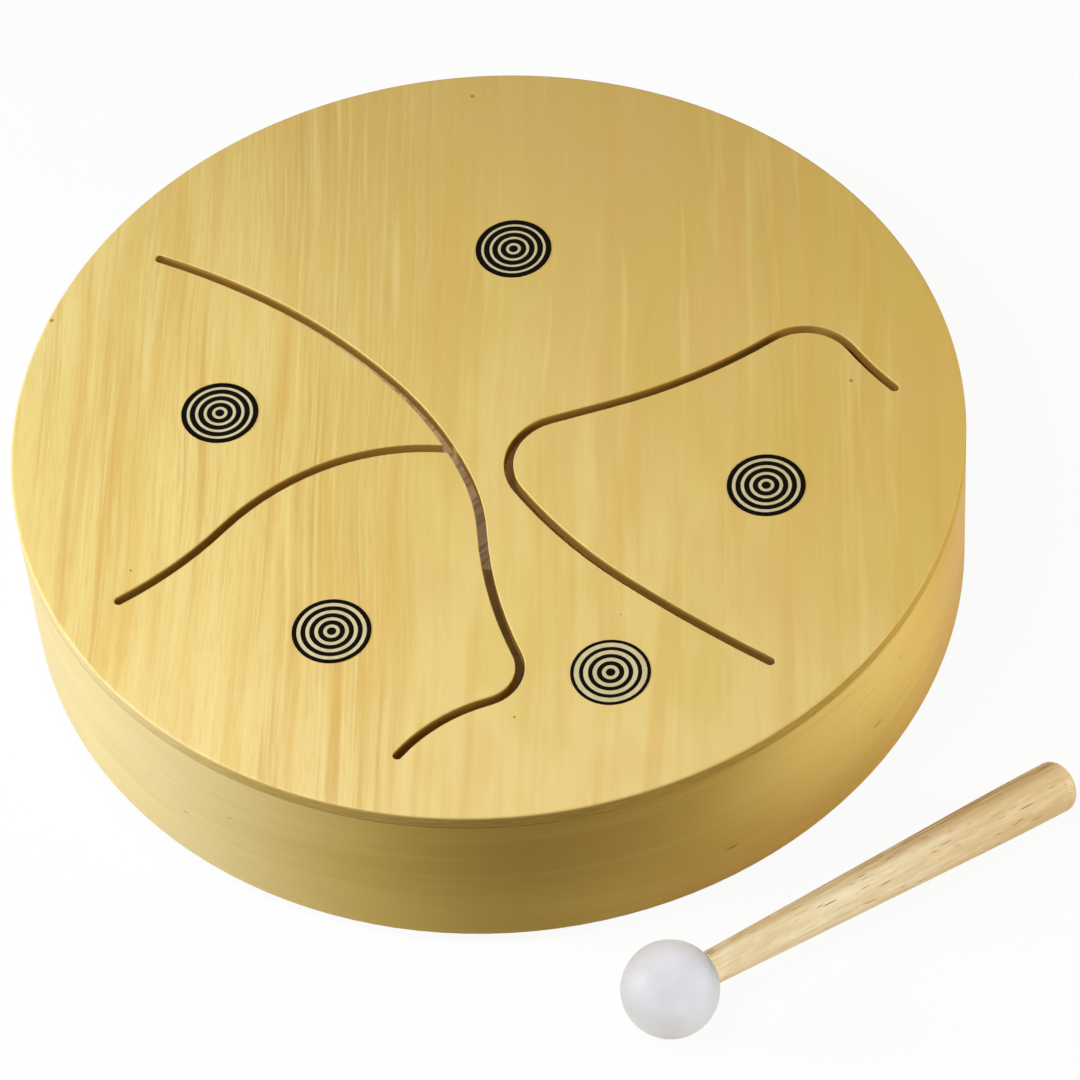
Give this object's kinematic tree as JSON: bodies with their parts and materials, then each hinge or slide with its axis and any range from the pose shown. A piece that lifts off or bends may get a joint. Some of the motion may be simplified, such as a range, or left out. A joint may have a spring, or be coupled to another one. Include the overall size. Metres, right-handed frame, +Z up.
{
  "type": "tongue drum",
  "caption": "Round wooden tongue drum: a slit plywood plate on a bent hoop with rubber feet, ring marks where it is struck, and a wooden beater with a white ball.",
  "frame": {"origin": "on the resting plane, under the centre of the drum", "axes": "+Z up along the drum's axis, -Y towards the player, +X to the player's right"},
  "size_m": [0.3201, 0.3469, 0.0671],
  "materials": {
    "plate_ply": "satin lacquer over light plywood",
    "hoop_ply": "satin lacquer over bent light plywood",
    "back_ply": "raw reddish plywood",
    "lining_wood": "raw softwood strip",
    "mark_film": "printed film",
    "foot_rubber": "moulded black rubber",
    "fastener_steel": "zinc plated",
    "handle_wood": "raw turned hardwood with open pores",
    "ball_rubber": "matte white rubber"
  },
  "bodies": {
    "drum": {"top_plate": "plate_ply", "hoop": "hoop_ply", "back_plate": "back_ply", "upper_lining": "lining_wood", "lower_lining": "lining_wood", "strike_mark_back": "mark_film", "strike_mark_left": "mark_film", "strike_mark_front_left": "mark_film", "strike_mark_front": "mark_film", "strike_mark_right": "mark_film", "foot_back_right": "foot_rubber", "foot_back_left": "foot_rubber", "foot_front_left": "foot_rubber", "foot_front_right": "foot_rubber", "foot_screws": "fastener_steel", "foot_washers": "fastener_steel"},
    "beater": {"beater_handle": "handle_wood", "beater_ball": "ball_rubber"}
  },
  "joints": [
    {"name": "beater_lift", "type": "slide", "parent": "drum", "child": "beater", "axis": [0, 0, 1], "range_m": [0, 0.15]}
  ]
}
